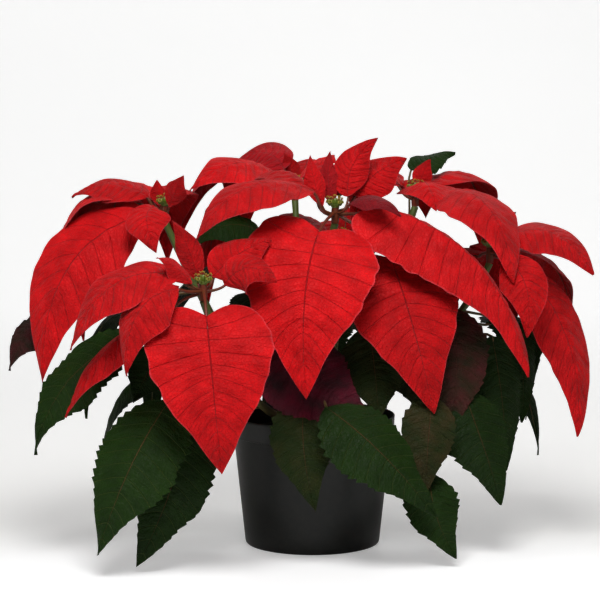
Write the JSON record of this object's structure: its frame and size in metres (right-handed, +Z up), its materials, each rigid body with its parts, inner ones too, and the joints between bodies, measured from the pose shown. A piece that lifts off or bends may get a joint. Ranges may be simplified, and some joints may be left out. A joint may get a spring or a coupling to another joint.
{
  "type": "potted poinsettia",
  "caption": "Low bushy house plant with heads of broad red bracts and hanging dark green leaves, growing in a plain tapered black pot.",
  "frame": {"origin": "middle of the pot's flat base, on the surface it stands on", "axes": "+Z up; the plant's front faces -Y, +X to the right seen from the front"},
  "size_m": [0.5275, 0.4483, 0.3681],
  "materials": {
    "pot_plastic": "semi-matt moulded plastic",
    "soil": "moist crumbly peat",
    "bark": "smooth brown bark",
    "leaf": "matt leaf",
    "bract": "velvety matt bract",
    "flower": "waxy bud"
  },
  "bodies": {
    "root": {"pot": "pot_plastic", "soil": "soil", "main_stem": "bark", "branch_a": "leaf", "branch_b": "leaf", "branch_c": "leaf", "branch_d": "leaf", "branch_e": "leaf", "branch_f": "leaf", "branch_g": "leaf", "bracts_a": "bract", "bracts_b": "bract", "bracts_c": "bract", "bracts_d": "bract", "bracts_e": "bract", "bracts_f": "bract", "bracts_g": "bract", "cyathia_a": "flower", "cyathia_b": "flower", "cyathia_c": "flower", "cyathia_d": "flower", "cyathia_e": "flower", "cyathia_f": "flower", "cyathia_g": "flower"}
  },
  "joints": []
}
